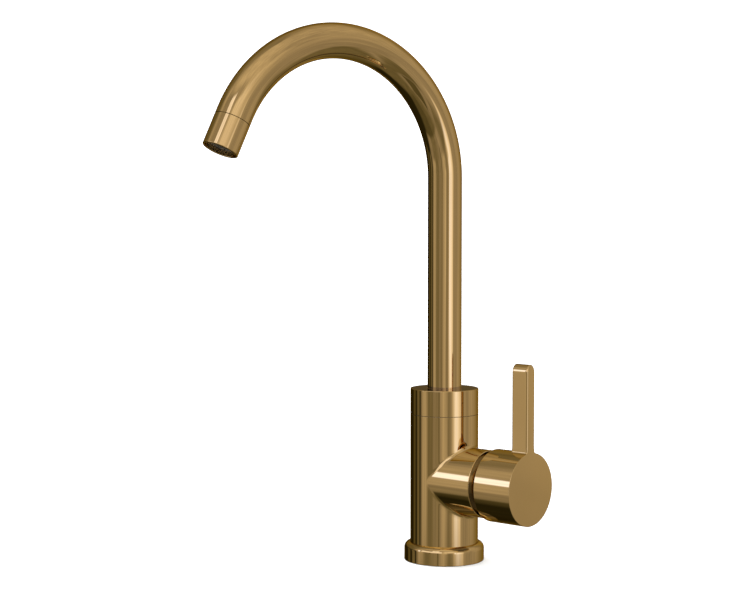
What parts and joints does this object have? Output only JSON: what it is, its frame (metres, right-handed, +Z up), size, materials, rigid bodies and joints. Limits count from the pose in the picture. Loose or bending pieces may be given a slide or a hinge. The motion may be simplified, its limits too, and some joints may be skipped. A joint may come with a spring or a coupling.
{
  "type": "pull-down kitchen faucet",
  "caption": "Gooseneck single-lever kitchen faucet with a cylindrical side handle, a swivelling spout and a short pull-out nozzle on an inner hose.",
  "frame": {"origin": "centre of the base ring's underside, on the column's axis, where the faucet stands on the deck", "axes": "+Z up along the column; the handle's axis points along +X; the front, where the user stands, is -Y; at rest the spout is swivelled 12.7 degrees from -Y towards -X"},
  "size_m": [0.1324, 0.2259, 0.3863],
  "materials": {
    "gold_metal": "polished light gold plating",
    "raw_brass": "machined",
    "steel": "machined",
    "hose_braid": "woven sleeve",
    "black_plastic": "moulded",
    "white_plastic": "moulded",
    "rubber": "moulded",
    "ceramic": "ground and lapped ceramic"
  },
  "bodies": {
    "column": {"base_ring": "gold_metal", "base_gasket": "rubber", "valve_body": "gold_metal", "swivel_washer": "black_plastic", "lower_bush": "white_plastic", "upper_bush": "white_plastic", "spout_lock_screw": "steel", "cartridge_housing": "black_plastic", "cartridge_seals": "rubber", "ceramic_disc_fixed": "ceramic", "cartridge_nut": "raw_brass", "trim_dome": "gold_metal"},
    "spout": {"spout_collar": "gold_metal", "spout_tube": "gold_metal", "dock_sleeve": "black_plastic", "spray_hose": "hose_braid", "hose_coupling": "raw_brass"},
    "hose_end": {"hose_ferrule": "raw_brass"},
    "nozzle": {"nozzle_core": "black_plastic", "hose_oring": "rubber", "hose_clip": "steel", "check_valve": "white_plastic", "nozzle_shell": "gold_metal", "aerator_gasket": "rubber", "aerator_housing": "black_plastic", "aerator_screen": "black_plastic"},
    "rotor": {"cartridge_rotor": "white_plastic", "pivot_pin": "steel"},
    "handle": {"cartridge_stem": "raw_brass", "handle_lever": "gold_metal", "handle_insert": "black_plastic", "handle_grub_screw": "steel", "handle_plug": "gold_metal"},
    "disc_slide": {"ceramic_disc_moving": "ceramic", "disc_carrier": "black_plastic"}
  },
  "joints": [
    {"name": "spout_swivel", "type": "hinge", "parent": "column", "child": "spout", "pos_m": [0, 0, 0.1076], "axis": [0, 0, 1], "continuous": true},
    {"name": "nozzle_pull", "type": "slide", "parent": "spout", "child": "hose_end", "axis": [-0.0946, -0.42, -0.9026], "range_m": [0, 0.28], "stiffness_N_per_m": 6, "springref_m": -0.6, "deforming": ["spray_hose"]},
    {"name": "nozzle_turn", "type": "hinge", "parent": "hose_end", "child": "nozzle", "pos_m": [-0.03923, -0.1741, 0.32038], "axis": [-0.0946, -0.42, -0.9026], "continuous": true},
    {"name": "handle_turn", "type": "hinge", "parent": "column", "child": "rotor", "pos_m": [0.0365, 0, 0.0595], "axis": [1, 0, 0], "range_deg": [-50, 50]},
    {"name": "handle_lift", "type": "hinge", "parent": "rotor", "child": "handle", "pos_m": [0.0365, 0, 0.0595], "axis": [0, 1, 0], "range_deg": [0, 25]},
    {"name": "disc_travel", "type": "slide", "parent": "rotor", "child": "disc_slide", "axis": [0, 0, 1], "range_m": [0, 0.0032]}
  ],
  "couplings": [
    {"joint": "disc_travel", "follows": "handle_lift", "m_per_rad": 0.0067}
  ]
}
